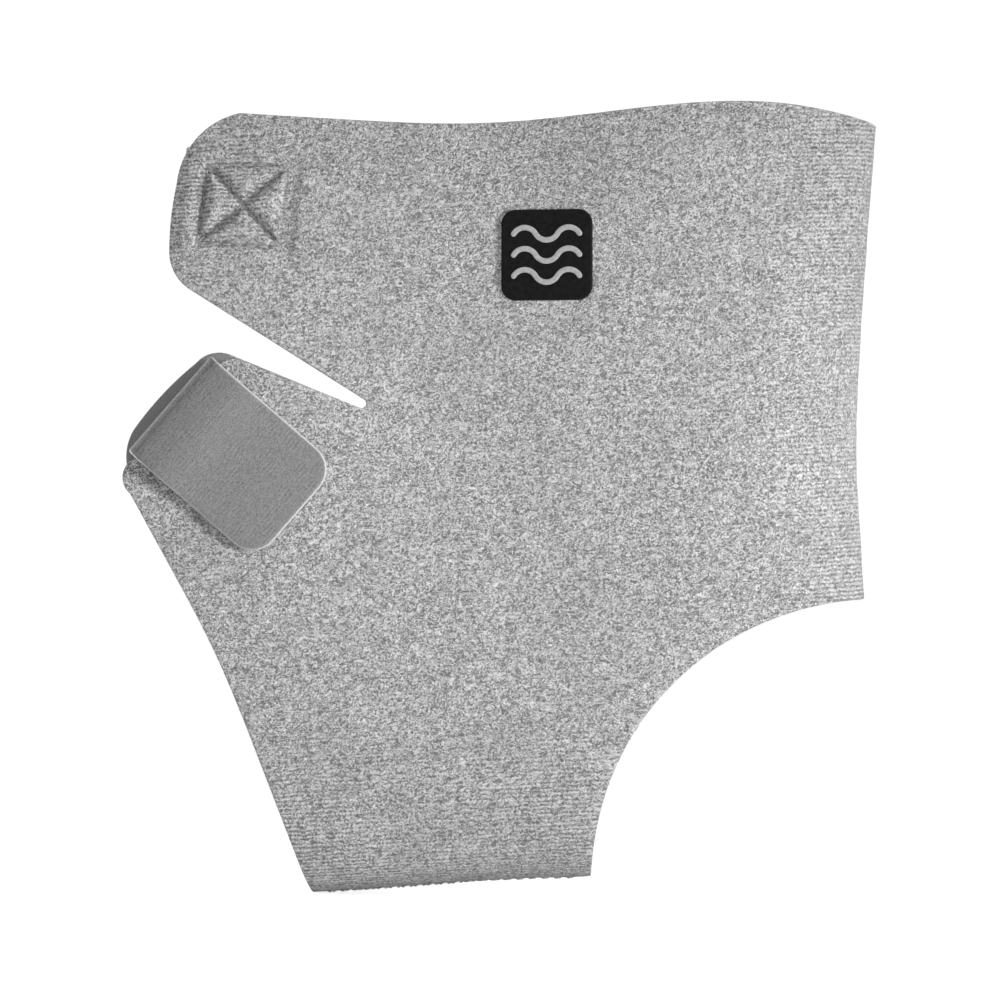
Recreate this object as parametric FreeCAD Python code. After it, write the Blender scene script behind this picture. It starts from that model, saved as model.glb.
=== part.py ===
"""Ankle cold compression wrap, closed round nothing, upright as it is worn.

X runs from the toes (-X) to the Achilles tendon (+X), Y from the medial side (-Y, badge side)
to the lateral side (+Y), and Z up the leg. The origin lies under the sole, at the middle of the
wrap's length. The wrap is one laminated sheet: an outer loop-knit cover, a foam core with gel
pads in its windows, and an inner lining. The sheet folds round the Achilles tendon, is seamed
under the sole, and is closed in front by two hook-and-loop straps.
"""
import FreeCAD, Part
import math
import os

# Laminate thicknesses, outside to inside
COVER = 0.9
CORE = 1.9
LINING = 0.6
LAMINATE = COVER + CORE + LINING

# Side-to-side form of the closed wrap: half thicknesses over the outer faces
TAB_HALF = 4.8
TOE_HALF = 9.2
FLAT_FRONT = -28.0
FRONT_LIMIT = -110.0
ACHILLES_ROUND = 26.0
# height, Achilles fold's X, half thickness behind the ankle, half thickness in front
STATIONS = [
    (-20.0, 88.0, 14.5, TOE_HALF),
    (40.0, 88.0, 15.5, TOE_HALF),
    (76.0, 87.0, 16.5, TAB_HALF),
    (106.0, 85.3, 17.0, TAB_HALF),
    (135.0, 86.1, 16.5, TAB_HALF),
    (160.0, 87.4, 16.0, TAB_HALF),
    (210.0, 91.5, 17.0, TAB_HALF),
]

# Sole: a rounded trough that rises towards the heel
SOLE_HALF = 13.0
SOLE_DEPTH = 16.0
SOLE_TOE_X = -45.0
SOLE_RISE = math.tan(math.radians(3.3))
SHANK_HALF = 18.5
SHANK_Z = 72.0

# Heel hole: a quarter circle about the heel's corner
HEEL_CORNER = (87.5, 3.8)
HEEL_RADIUS = 66.0

# Straps
STRAP = 1.4
HOOK = 0.7
HOOK_GAP = 0.3
FOLD_GAP = 0.15
FOLD_PARTS = 3
FOLD_RADIUS = (TAB_HALF + HOOK_GAP + HOOK + STRAP / 2) / 2
ANCHOR_LENGTH = 26.0

# Badge on the medial side
BADGE_AT = (10.9, 151.6)
BADGE_SIZE = 21.6
BADGE_CORNER = 3.4
BADGE = 0.7
MOTIF = 0.3

# Sewing
THREAD = 0.3
THREAD_WIDTH = 0.7
SEAM_PITCH = 3.0
SEAM_WIDTH = 5.0
TAPE = 0.6
TAPE_WIDTH = 12.0

BEYOND = 40.0
BEZIER_ROUND = 0.5523


def point(x, y, z):
    return FreeCAD.Vector(x, y, z)


def bezier(*poles):
    curve = Part.BezierCurve()
    curve.setPoles(list(poles))
    return curve.toShape()


def line(a, b):
    return Part.LineSegment(a, b).toShape()


# ---- the closed form of the wrap, at any depth under its outer face ----

def leg_section(station, depth):
    """Horizontal outline: flat in front, swelling towards the ankle, round at the Achilles fold."""
    z, fold_x, rear, front = station
    rear -= depth
    front -= depth
    reach = ACHILLES_ROUND - depth
    centre = fold_x - ACHILLES_ROUND
    swell = 0.45 * (centre - FLAT_FRONT)

    def half(side):
        flat = line(point(FRONT_LIMIT, side * front, z), point(FLAT_FRONT, side * front, z))
        rise = bezier(
            point(FLAT_FRONT, side * front, z),
            point(FLAT_FRONT + swell, side * front, z),
            point(centre - swell, side * rear, z),
            point(centre, side * rear, z),
        )
        turn = bezier(
            point(centre, side * rear, z),
            point(centre + BEZIER_ROUND * reach, side * rear, z),
            point(centre + reach, side * BEZIER_ROUND * rear, z),
            point(centre + reach, 0, z),
        )
        return [flat, rise, turn]

    medial = half(-1)
    lateral = half(1)
    close = line(point(FRONT_LIMIT, front, z), point(FRONT_LIMIT, -front, z))
    return Part.Wire(medial + lateral[::-1] + [close])


def sole_section(depth):
    """Vertical outline across the foot: a rounded trough with sides that lean out."""
    x = FRONT_LIMIT
    lift = (x - SOLE_TOE_X) * SOLE_RISE
    half = SOLE_HALF - depth
    deep = SOLE_DEPTH - depth
    wide = SHANK_HALF - depth
    middle = SOLE_DEPTH + lift
    shank = SHANK_Z + lift
    top = STATIONS[-1][0] + BEYOND

    def side(sign):
        turn = bezier(
            point(x, 0, middle - deep),
            point(x, sign * BEZIER_ROUND * half, middle - deep),
            point(x, sign * half, middle - BEZIER_ROUND * deep),
            point(x, sign * half, middle),
        )
        lean = line(point(x, sign * half, middle), point(x, sign * wide, shank))
        rise = line(point(x, sign * wide, shank), point(x, sign * wide, top))
        return [turn, lean, rise]

    lid = line(point(x, wide, top), point(x, -wide, top))
    return Part.Wire(side(1) + [lid] + side(-1)[::-1])


def form(depth):
    leg = Part.makeLoft([leg_section(s, depth) for s in STATIONS], True, True)
    length = -2 * FRONT_LIMIT
    sole = Part.Face(sole_section(depth)).extrude(point(length, 0, length * SOLE_RISE))
    return leg.common(sole)


# ---- the plan outlines of the two halves, in X and Z ----

def plan(pieces):
    """A closed face in the XZ plane from runs of points: 2 make a line, 3 an arc, more a spline."""
    edges = []
    for run in pieces:
        points = [point(x, 0, z) for x, z in run]
        if len(points) == 2:
            edges.append(line(*points))
        elif len(points) == 3:
            edges.append(Part.Arc(*points).toShape())
        else:
            curve = Part.BSplineCurve()
            curve.interpolate(points)
            edges.append(curve.toShape())
    return Part.Face(Part.Wire(edges))


def heel_arc():
    x, z = HEEL_CORNER
    diagonal = HEEL_RADIUS * math.sqrt(0.5)
    return [(x, z + HEEL_RADIUS), (x - diagonal, z + diagonal), (x - HEEL_RADIUS, z)]


TOP_EDGE = [(-62.2, 185.8), (-29.4, 183.8), (-4.2, 183.2), (29.4, 185.8), (63.0, 187.2), (96.0, 181.6)]
HEEL_EDGES = [
    [TOP_EDGE[-1], (96.0, HEEL_CORNER[1] + HEEL_RADIUS)],
    [(96.0, HEEL_CORNER[1] + HEEL_RADIUS), (HEEL_CORNER[0], HEEL_CORNER[1] + HEEL_RADIUS)],
    heel_arc(),
    [heel_arc()[-1], (HEEL_CORNER[0] - HEEL_RADIUS, -12.0)],
    [(HEEL_CORNER[0] - HEEL_RADIUS, -12.0), (-40.5, -12.0)],
]
SLIT_TIP = [(-33.3, 115.4), (-32.1, 116.6), (-33.0, 117.7)]


def medial_plan():
    return plan([TOP_EDGE] + HEEL_EDGES + [
        [(-40.5, -12.0), (-56.6, 29.6), (-68.5, 58.2), (-78.3, 76.6), (-88.4, 95.0)],
        [(-88.4, 95.0), (-90.2, 99.6), (-87.6, 103.4)],
        [(-87.6, 103.4), (-68.0, 125.2)],
        [(-68.0, 125.2), (-65.2, 127.1), (-62.0, 126.9)],
        [(-62.0, 126.9), SLIT_TIP[0]],
        SLIT_TIP,
        [SLIT_TIP[-1], (-73.4, 143.2)],
        [(-73.4, 143.2), (-77.7, 147.4), (-79.1, 153.5)],
        [(-79.1, 153.5), (-78.6, 161.3), (-77.3, 169.0)],
        [(-77.3, 169.0), (-73.2, 179.0), TOP_EDGE[0]],
    ])


def lateral_plan():
    return plan([TOP_EDGE] + HEEL_EDGES + [
        [(-40.5, -12.0), (-55.9, 29.6), (-67.1, 58.2), (-76.5, 76.6), (-86.0, 94.4)],
        [(-86.0, 94.4), (-90.2, 103.2), (-88.5, 110.3)],
        [(-88.5, 110.3), (-82.0, 118.4), (-73.4, 126.5)],
        [(-73.4, 126.5), (-69.2, 128.9), (-64.4, 128.2)],
        [(-64.4, 128.2), SLIT_TIP[0]],
        SLIT_TIP,
        [SLIT_TIP[-1], (-70.4, 145.2)],
        [(-70.4, 145.2), (-74.4, 149.2), (-75.9, 154.4)],
        [(-75.9, 154.4), (-75.1, 162.4), (-73.4, 169.6)],
        [(-73.4, 169.6), (-69.6, 178.4), TOP_EDGE[0]],
    ])


def medial(shape):
    return shape.common(medial_plan().extrude(point(0, -BEYOND, 0)))


def lateral(shape):
    return shape.common(lateral_plan().extrude(point(0, BEYOND, 0)))


def both_halves(shape):
    return medial(shape).fuse(lateral(shape)).removeSplitter()


# ---- laminate layers ----

def layer(outer_depth, inner_depth):
    return form(outer_depth).cut(form(inner_depth))


def gel_window():
    """Plan of one side's gel pad: inside the edges, clear of the tabs and of the Achilles pad."""
    return plan([
        [(-20.0, 174.0), (54.0, 175.5)],
        [(54.0, 175.5), (54.0, 71.0)],
        [(54.0, 71.0), (28.0, 55.0), (12.0, 24.0)],
        [(12.0, 24.0), (-40.0, 24.0)],
        [(-40.0, 24.0), (-46.0, 42.0), (-50.0, 70.0), (-22.0, 104.0)],
        [(-22.0, 104.0), (-20.0, 174.0)],
    ])


def achilles_window():
    return plan([
        [(60.0, 175.5), (96.0, 174.0)],
        [(96.0, 174.0), (96.0, 80.0)],
        [(96.0, 80.0), (60.0, 76.0)],
        [(60.0, 76.0), (60.0, 175.5)],
    ])


def laminate_nodes():
    core = layer(COVER, COVER + CORE)
    near = gel_window().extrude(point(0, -BEYOND, 0))
    far = gel_window().extrude(point(0, BEYOND, 0))
    rear = achilles_window().extrude(point(0, 2 * BEYOND, 0))
    rear.translate(point(0, -BEYOND, 0))
    return {
        "outer_cover": both_halves(layer(0, COVER)),
        "foam_core": both_halves(core).cut(near).cut(far).cut(rear),
        "inner_lining": both_halves(layer(COVER + CORE, LAMINATE)),
        "medial_gel_pad": core.common(near),
        "lateral_gel_pad": core.common(far),
        "achilles_gel_pad": core.common(rear),
    }


# ---- badge ----

def slab(x, z, wide, high, corner):
    """A rounded rectangle in plan, reaching out from the middle plane on the medial side."""
    box = Part.makeBox(wide, BEYOND, high, point(x - wide / 2, -BEYOND, z - high / 2))
    upright = [e for e in box.Edges if abs(e.BoundBox.YLength - BEYOND) < 0.01]
    return box.makeFillet(corner, upright)


def wave(x, z):
    """A level wave of three half rounds, each a third of a ring."""
    radius = 3.0
    stroke = 1.3
    chord = radius * math.sqrt(3)
    humps = []
    for i, up in enumerate((1, -1, 1)):
        centre_x = x + (i - 1) * chord
        centre_z = z - up * radius / 2
        outer = Part.makeCylinder(radius + stroke / 2, BEYOND, point(centre_x, 0, centre_z), point(0, -1, 0))
        inner = Part.makeCylinder(radius - stroke / 2, BEYOND, point(centre_x, 0, centre_z), point(0, -1, 0))
        reach = 2 * radius
        wedge = plan([
            [(centre_x, centre_z), (centre_x - reach * math.sin(math.pi / 3), centre_z + up * reach / 2)],
            [
                (centre_x - reach * math.sin(math.pi / 3), centre_z + up * reach / 2),
                (centre_x, centre_z + up * reach),
                (centre_x + reach * math.sin(math.pi / 3), centre_z + up * reach / 2),
            ],
            [(centre_x + reach * math.sin(math.pi / 3), centre_z + up * reach / 2), (centre_x, centre_z)],
        ]).extrude(point(0, -BEYOND, 0))
        humps.append(outer.cut(inner).common(wedge))
    return humps[0].fuse(humps[1:]).removeSplitter()


def badge_nodes():
    x, z = BADGE_AT
    patch = layer(-BADGE, 0).common(slab(x, z, BADGE_SIZE, BADGE_SIZE, BADGE_CORNER))
    raised = layer(-BADGE - MOTIF, -BADGE)
    waves = [raised.common(wave(x, z + step)) for step in (-5.0, 0.0, 5.0)]
    return {"badge": patch, "badge_motif": Part.makeCompound(waves)}


# ---- sewing ----

def stitched_line(a, b, side):
    """A thread on the outer face from one plan point to another."""
    run = math.hypot(b[0] - a[0], b[1] - a[1])
    bar = Part.makeBox(run, BEYOND, THREAD_WIDTH, point(0, 0, -THREAD_WIDTH / 2))
    if side < 0:
        bar.translate(point(0, -BEYOND, 0))
    bar.rotate(point(0, 0, 0), point(0, 1, 0), -math.degrees(math.atan2(b[1] - a[1], b[0] - a[0])))
    bar.translate(point(a[0], 0, a[1]))
    return bar


def crossed_box(corners, side):
    """The sewn square with its two diagonals that holds a strap's end."""
    around = [(corners[i], corners[(i + 1) % 4]) for i in range(4)]
    across = [(corners[0], corners[2]), (corners[1], corners[3])]
    bars = [stitched_line(a, b, side) for a, b in around + across]
    return layer(-THREAD, 0).common(bars[0].fuse(bars[1:])).removeSplitter()


def sole_seam_nodes():
    toe_x = SOLE_TOE_X + 3
    heel_x = HEEL_CORNER[0] - HEEL_RADIUS - 3
    count = int((heel_x - toe_x) / SEAM_PITCH)
    skin = layer(-THREAD, 0)
    stitches = []
    for i in range(count):
        across = Part.makeBox(
            THREAD_WIDTH, SEAM_WIDTH, SOLE_DEPTH, point(toe_x + i * SEAM_PITCH, -SEAM_WIDTH / 2, -5)
        )
        stitches.append(skin.common(across))
    strip = Part.makeBox(heel_x - toe_x + 4, TAPE_WIDTH, SOLE_DEPTH, point(toe_x - 2, -TAPE_WIDTH / 2, 0))
    tape = layer(LAMINATE, LAMINATE + TAPE).common(strip)
    return {"sole_seam_thread": Part.makeCompound(stitches), "sole_seam_tape": tape}


# ---- straps ----

class Strap:
    """One strap, sewn inside one half and folded round the other half's front edge.

    nose is the plan point at the middle of the fold's outermost line, slope the angle in
    degrees by which the strap falls towards the Achilles tendon, and side the Y sign of the
    face that the free end closes on.
    """

    def __init__(self, name, nose, slope, side, width, length, corner):
        self.name = name
        self.width = width
        self.length = length
        self.corner = corner
        self.side = side
        fall = math.radians(slope)
        self.inward = point(math.cos(fall), 0, -math.sin(fall))
        self.up = point(math.sin(fall), 0, math.cos(fall))
        self.outer = FOLD_RADIUS + STRAP / 2
        self.inner = FOLD_RADIUS - STRAP / 2
        self.centre = point(nose[0], side * FOLD_RADIUS, nose[1]) + self.inward * self.outer

    def place(self, shape):
        """From the strap's own axes (X inward, Y towards the closing face, Z up its fold) to the wrap's."""
        across = point(0, self.side, 0)
        placed = FreeCAD.Matrix(
            self.inward.x, across.x, self.up.x, self.centre.x,
            self.inward.y, across.y, self.up.y, self.centre.y,
            self.inward.z, across.z, self.up.z, self.centre.z,
            0, 0, 0, 1,
        )
        return shape.transformGeometry(placed)

    def plate(self, x_from, x_to, y_from, y_to, width, corner):
        """A flat piece along the strap with two round corners at its inner end."""
        box = Part.makeBox(x_to - x_from, y_to - y_from, width, point(x_from, y_from, -width / 2))
        ends = [
            e for e in box.Edges
            if abs(e.BoundBox.YLength - (y_to - y_from)) < 0.01
            and e.BoundBox.XLength < 0.01
            and e.BoundBox.ZLength < 0.01
            and e.BoundBox.XMin > x_to - 0.01
        ]
        return self.place(box.makeFillet(corner, ends))

    def anchor(self):
        """The sewn end, doubled under, from the inner face of its own half to the middle plane."""
        face = TAB_HALF - LAMINATE
        low = -FOLD_RADIUS - face
        return self.plate(0, ANCHOR_LENGTH, low, -FOLD_RADIUS + STRAP / 2, self.width, 1.0)

    def fold_part(self, index):
        """One of the equal arcs of the fold, from the sewn end (0) to the free end."""
        arc = 180.0 / FOLD_PARTS
        trim = math.degrees(FOLD_GAP / 2 / self.outer)
        start = 270.0 - index * arc - trim
        sweep = arc - 2 * trim
        edge = Part.Face(Part.Wire([
            line(self.rim(self.inner, start), self.rim(self.outer, start)),
            Part.Arc(
                self.rim(self.outer, start),
                self.rim(self.outer, start - sweep / 2),
                self.rim(self.outer, start - sweep),
            ).toShape(),
            line(self.rim(self.outer, start - sweep), self.rim(self.inner, start - sweep)),
            Part.Arc(
                self.rim(self.inner, start - sweep),
                self.rim(self.inner, start - sweep / 2),
                self.rim(self.inner, start),
            ).toShape(),
        ]))
        return self.place(edge.extrude(point(0, 0, self.width)))

    def rim(self, radius, degrees):
        turn = math.radians(degrees)
        return point(radius * math.cos(turn), radius * math.sin(turn), -self.width / 2)

    def free_end(self):
        return self.plate(FOLD_GAP / 2, self.length, self.inner, self.outer, self.width, self.corner)

    def hook_patch(self):
        border = 2.0
        return self.plate(
            2 * border, self.length - border, self.inner - HOOK, self.inner,
            self.width - 2 * border, self.corner - border,
        )

    def nodes(self, sewn_corners):
        made = {f"{self.name}_anchor": self.anchor()}
        for index in range(FOLD_PARTS):
            made[f"{self.name}_fold_{index + 1}"] = self.fold_part(index)
        made[f"{self.name}_free_end"] = self.free_end()
        made[f"{self.name}_hook_patch"] = self.hook_patch()
        made[f"{self.name}_stitching"] = crossed_box(sewn_corners, -self.side)
        return made

    def report(self):
        """Prints where the fold's hinge lines lie: on the fold's outer face, between its parts."""
        for index in range(FOLD_PARTS + 1):
            turn = math.radians(270.0 - index * 180.0 / FOLD_PARTS)
            at = self.inward * (self.outer * math.cos(turn))
            at += point(0, self.side, 0) * (self.outer * math.sin(turn)) + self.centre
            axis = self.up * self.side
            print(
                f"{self.name} hinge {index + 1}: "
                f"pos_m [{at.x / 1000:.6f}, {at.y / 1000:.6f}, {at.z / 1000:.6f}] "
                f"axis [{axis.x:.6f}, {axis.y:.6f}, {axis.z:.6f}]"
            )


UPPER = Strap("upper_strap", (-77.3, 165.0), 7.5, 1, 27.0, 43.1, 5.0)
UPPER_SEWN = [(-69.8, 173.3), (-50.3, 173.3), (-52.5, 153.6), (-72.4, 154.9)]
LOWER = Strap("lower_strap", (-79.1, 116.65), 41.0, -1, 30.0, 36.4, 6.5)
LOWER_SEWN = [(-70.8, 124.4), (-56.7, 113.4), (-70.3, 97.9), (-83.4, 108.6)]


def main():
    os.makedirs("parts", exist_ok=True)
    nodes = laminate_nodes()
    nodes.update(badge_nodes())
    nodes.update(sole_seam_nodes())
    nodes.update(UPPER.nodes(UPPER_SEWN))
    nodes.update(LOWER.nodes(LOWER_SEWN))
    for name, shape in nodes.items():
        shape.exportStep(f"parts/{name}.step")
        box = shape.BoundBox
        print(
            f"{name}: {len(shape.Solids)} solid(s), {shape.Volume / 1000:.2f} cm3, valid {shape.isValid()}, "
            f"X {box.XMin:.1f}..{box.XMax:.1f} Y {box.YMin:.1f}..{box.YMax:.1f} Z {box.ZMin:.1f}..{box.ZMax:.1f}"
        )
    UPPER.report()
    LOWER.report()


main()
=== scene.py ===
"""Looks of the ankle cold compression wrap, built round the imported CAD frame.

Lengths are in millimetres until a mesh is made. The wrap's form is the same formula as the CAD
solid's: a flat pattern (p, q) is folded round the Achilles tendon at p = 0 and closed under the
sole. p is negative on the medial half and positive on the lateral half, and q runs up the leg.
"""
import math

import bpy
import numpy as np
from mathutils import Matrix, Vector
from mathutils.geometry import delaunay_2d_cdt
from mathutils.kdtree import KDTree


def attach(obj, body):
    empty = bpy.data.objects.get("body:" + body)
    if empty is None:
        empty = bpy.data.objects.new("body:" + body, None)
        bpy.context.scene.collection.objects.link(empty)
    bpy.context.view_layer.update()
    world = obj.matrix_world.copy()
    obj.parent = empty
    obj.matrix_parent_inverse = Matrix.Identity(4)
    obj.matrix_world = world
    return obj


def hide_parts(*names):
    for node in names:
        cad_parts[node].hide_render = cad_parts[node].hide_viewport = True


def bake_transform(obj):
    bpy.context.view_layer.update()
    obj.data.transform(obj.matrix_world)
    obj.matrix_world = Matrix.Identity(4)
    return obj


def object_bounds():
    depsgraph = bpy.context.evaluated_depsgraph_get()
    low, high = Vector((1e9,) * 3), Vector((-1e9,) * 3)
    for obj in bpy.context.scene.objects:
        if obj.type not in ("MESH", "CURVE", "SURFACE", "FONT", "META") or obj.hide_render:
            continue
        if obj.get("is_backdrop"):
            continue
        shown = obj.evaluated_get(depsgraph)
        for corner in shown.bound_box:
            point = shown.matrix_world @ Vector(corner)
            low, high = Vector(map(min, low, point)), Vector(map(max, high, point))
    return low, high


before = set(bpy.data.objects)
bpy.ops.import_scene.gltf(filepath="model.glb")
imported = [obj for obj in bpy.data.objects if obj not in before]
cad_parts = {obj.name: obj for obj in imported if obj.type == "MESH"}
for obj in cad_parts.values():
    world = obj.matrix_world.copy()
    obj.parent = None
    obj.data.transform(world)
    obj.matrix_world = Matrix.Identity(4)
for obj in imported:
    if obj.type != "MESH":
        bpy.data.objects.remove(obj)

for spare in ("Cube", "Light", "Camera"):
    if spare in bpy.data.objects:
        bpy.data.objects.remove(bpy.data.objects[spare])

MM = 0.001
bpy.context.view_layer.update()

# ---------------- the wrap's form

COVER = 0.9
CORE = 1.9
LINING = 0.6
LAMINATE = COVER + CORE + LINING
FLAT_FRONT = -28.0
ACHILLES_ROUND = 26.0
ACHILLES_REACH = ACHILLES_ROUND * math.pi / 2
# height, Achilles fold's X, half thickness behind the ankle, half thickness in front
STATIONS = np.array([
    (-20.0, 88.0, 14.5, 9.2),
    (40.0, 88.0, 15.5, 9.2),
    (76.0, 87.0, 16.5, 4.8),
    (106.0, 85.3, 17.0, 4.8),
    (135.0, 86.1, 16.5, 4.8),
    (160.0, 87.4, 16.0, 4.8),
    (210.0, 91.5, 17.0, 4.8),
])
SOLE_HALF = 13.0
SOLE_DEPTH = 16.0
SOLE_TOE_X = -45.0
SOLE_RISE = math.tan(math.radians(3.3))
SHANK_HALF = 18.5
SHANK_Z = 72.0
HEEL_CORNER = (87.5, 3.8)
HEEL_RADIUS = 66.0
FORM_BLEND = 3.0
STATION_BLEND = 7.0
BLEND_REACH = 24


def smooth_stations():
    """The stations' columns at every millimetre of height, with their kinks rounded off."""
    heights = np.arange(-60.0, 260.0)
    reach = np.arange(-BLEND_REACH, BLEND_REACH + 1.0)
    weights = np.exp(-0.5 * (reach / STATION_BLEND) ** 2)
    weights /= weights.sum()
    columns = []
    for i in (1, 2, 3):
        values = np.interp(heights, STATIONS[:, 0], STATIONS[:, i])
        padded = np.pad(values, BLEND_REACH, mode="edge")
        columns.append(np.convolve(padded, weights, mode="valid"))
    return heights, columns


HEIGHTS, COLUMNS = smooth_stations()


def at_height(z):
    """Achilles fold's X, rear half thickness and front half thickness at height z."""
    return [np.interp(z, HEIGHTS, column) for column in COLUMNS]


def lift(x):
    """Height of the sole's slope at X."""
    return (x - SOLE_TOE_X) * SOLE_RISE


def soft_min(a, b):
    """The smaller of two values, rounded off where they cross."""
    h = np.clip(0.5 + 0.5 * (b - a) / FORM_BLEND, 0, 1)
    return b * (1 - h) + a * h - FORM_BLEND * h * (1 - h)


def smooth(t):
    """A share from 0 to 1 that starts and ends gently."""
    t = np.clip(t, 0, 1)
    return t * t * (3 - 2 * t)


def form(p, q):
    """Points of the wrap's outer face over its pattern, as an array with X, Y and Z last."""
    along = np.abs(p)
    turn = np.clip((SOLE_DEPTH - q) / SOLE_DEPTH, 0, math.pi / 2)
    rise = np.where(q < SOLE_DEPTH, SOLE_DEPTH - SOLE_DEPTH * np.sin(turn), q)
    height = rise
    for _ in range(2):
        fold_x, rear, front = at_height(height)
        centre = fold_x - ACHILLES_ROUND
        swing = np.clip((ACHILLES_REACH - along) / ACHILLES_ROUND, 0, math.pi / 2)
        rounded = along < ACHILLES_REACH
        x = np.where(rounded, centre + ACHILLES_ROUND * np.sin(swing), centre - along + ACHILLES_REACH)
        height = rise + lift(x)
    swell = smooth((x - FLAT_FRONT) / (centre - FLAT_FRONT))
    half = np.where(rounded, rear * np.cos(swing), front + (rear - front) * swell)
    lean = np.clip((rise - SOLE_DEPTH) / (SHANK_Z - SOLE_DEPTH), 0, 1)
    trough = SOLE_HALF * np.cos(turn) + (SHANK_HALF - SOLE_HALF) * lean
    half = soft_min(half, trough)
    return np.stack([x, np.where(p < 0, -half, half), height], axis=-1)


def unfold(x, z):
    """Pattern coordinates (|p|, q) of a plan point."""
    rise = z - lift(x)
    fold_x = at_height(z)[0]
    centre = fold_x - ACHILLES_ROUND
    swing = np.arcsin(np.clip((x - centre) / ACHILLES_ROUND, 0, 1))
    along = np.where(x > centre, ACHILLES_REACH - ACHILLES_ROUND * swing, ACHILLES_REACH + centre - x)
    dip = np.arcsin(np.clip((SOLE_DEPTH - rise) / SOLE_DEPTH, 0, 1))
    q = np.where(rise < SOLE_DEPTH, SOLE_DEPTH - SOLE_DEPTH * dip, rise)
    return along, q


def unit(vectors):
    """The vectors at length 1."""
    return vectors / np.maximum(np.linalg.norm(vectors, axis=-1, keepdims=True), 1e-9)


def normals(surface, p, q):
    """Unit normals of a surface over its pattern, pointing out of the wrap."""
    step = 0.05
    du = surface(p + step, q) - surface(p - step, q)
    dv = surface(p, q + step) - surface(p, q - step)
    return unit(np.cross(du, dv))


# ---------------- outlines

LINE_STEP = 0.25


def line_points(a, b, step=LINE_STEP):
    return np.linspace(a, b, max(2, int(math.dist(a, b) / step)))


def arc_points(a, b, c):
    """Points on the arc from a through b to c."""
    (ax, az), (bx, bz), (cx, cz) = a, b, c
    d = 2 * (ax * (bz - cz) + bx * (cz - az) + cx * (az - bz))
    aa, bb, cc = ax * ax + az * az, bx * bx + bz * bz, cx * cx + cz * cz
    ox = (aa * (bz - cz) + bb * (cz - az) + cc * (az - bz)) / d
    oz = (aa * (cx - bx) + bb * (ax - cx) + cc * (bx - ax)) / d
    radius = math.hypot(ax - ox, az - oz)
    start = math.atan2(az - oz, ax - ox)
    middle = (math.atan2(bz - oz, bx - ox) - start) % (2 * math.pi)
    end = (math.atan2(cz - oz, cx - ox) - start) % (2 * math.pi)
    if middle > end:
        end -= 2 * math.pi
    count = max(3, int(abs(end) * radius / LINE_STEP))
    turn = start + np.linspace(0, end, count)
    return np.stack([ox + radius * np.cos(turn), oz + radius * np.sin(turn)], axis=-1)


def lengths_along(points):
    """Each point's distance from the first one, along the line."""
    return np.concatenate([[0], np.cumsum(np.linalg.norm(np.diff(points, axis=0), axis=1))])


def spline_points(points):
    """A natural cubic spline through the points, spaced by their chords."""
    points = np.array(points, float)
    t = lengths_along(points)
    h = np.diff(t)
    n = len(t)
    system = np.eye(n)
    right = np.zeros((n, 2))
    for i in range(1, n - 1):
        system[i, i - 1:i + 2] = h[i - 1], 2 * (h[i - 1] + h[i]), h[i]
        right[i] = 6 * ((points[i + 1] - points[i]) / h[i] - (points[i] - points[i - 1]) / h[i - 1])
    m = np.linalg.solve(system, right)
    s = np.linspace(0, t[-1], max(4, int(t[-1] / LINE_STEP)))
    i = np.clip(np.searchsorted(t, s) - 1, 0, n - 2)
    left, gap = (s - t[i])[:, None], h[i][:, None]
    rest = gap - left
    curve = (m[i] * rest ** 3 + m[i + 1] * left ** 3) / (6 * gap)
    curve += (points[i] / gap - m[i] * gap / 6) * rest + (points[i + 1] / gap - m[i + 1] * gap / 6) * left
    return curve


def run_points(run):
    """2 points make a line, 3 an arc and more a spline."""
    if len(run) == 2:
        return line_points(*run)
    if len(run) == 3:
        return arc_points(*run)
    return spline_points(run)


def even(points, step):
    """The same line with evenly spaced points."""
    t = lengths_along(points)
    s = np.linspace(0, t[-1], max(2, round(t[-1] / step) + 1))
    return np.stack([np.interp(s, t, points[:, k]) for k in (0, 1)], axis=-1)


def even_loop(loop, step):
    """The same closed loop with evenly spaced points."""
    return even(np.vstack([loop, loop[:1]]), step)[:-1]


def chained(start, *runs):
    """Runs of points, each of which begins where the one before it ends."""
    made = []
    for run in runs:
        made.append([start, *run])
        start = run[-1]
    return made


TOP_EDGE = [(-62.2, 185.8), (-29.4, 183.8), (-4.2, 183.2), (29.4, 185.8), (63.0, 187.2), (96.0, 181.6)]
SLIT_TIP = [(-33.3, 115.4), (-32.1, 116.6), (-33.0, 117.7)]
FRONT_RUNS = {
    -1: chained(
        TOP_EDGE[0],
        [(-73.2, 179.0), (-77.3, 169.0)],
        [(-78.6, 161.3), (-79.1, 153.5)],
        [(-77.7, 147.4), (-73.4, 143.2)],
        [SLIT_TIP[2]],
        [SLIT_TIP[1], SLIT_TIP[0]],
        [(-62.0, 126.9)],
        [(-65.2, 127.1), (-68.0, 125.2)],
        [(-87.6, 103.4)],
        [(-90.2, 99.6), (-88.4, 95.0)],
        [(-78.3, 76.6), (-68.5, 58.2), (-56.6, 29.6), (-40.5, -12.0)],
    ),
    1: chained(
        TOP_EDGE[0],
        [(-69.6, 178.4), (-73.4, 169.6)],
        [(-75.1, 162.4), (-75.9, 154.4)],
        [(-74.4, 149.2), (-70.4, 145.2)],
        [SLIT_TIP[2]],
        [SLIT_TIP[1], SLIT_TIP[0]],
        [(-64.4, 128.2)],
        [(-69.2, 128.9), (-73.4, 126.5)],
        [(-82.0, 118.4), (-88.5, 110.3)],
        [(-90.2, 103.2), (-86.0, 94.4)],
        [(-76.5, 76.6), (-67.1, 58.2), (-55.9, 29.6), (-40.5, -12.0)],
    ),
}
SOLE_Q = SOLE_DEPTH * (1 - math.pi / 2)
FOLD_CLEARANCE = 0.02
SOLE_CLEARANCE = 0.005
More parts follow.
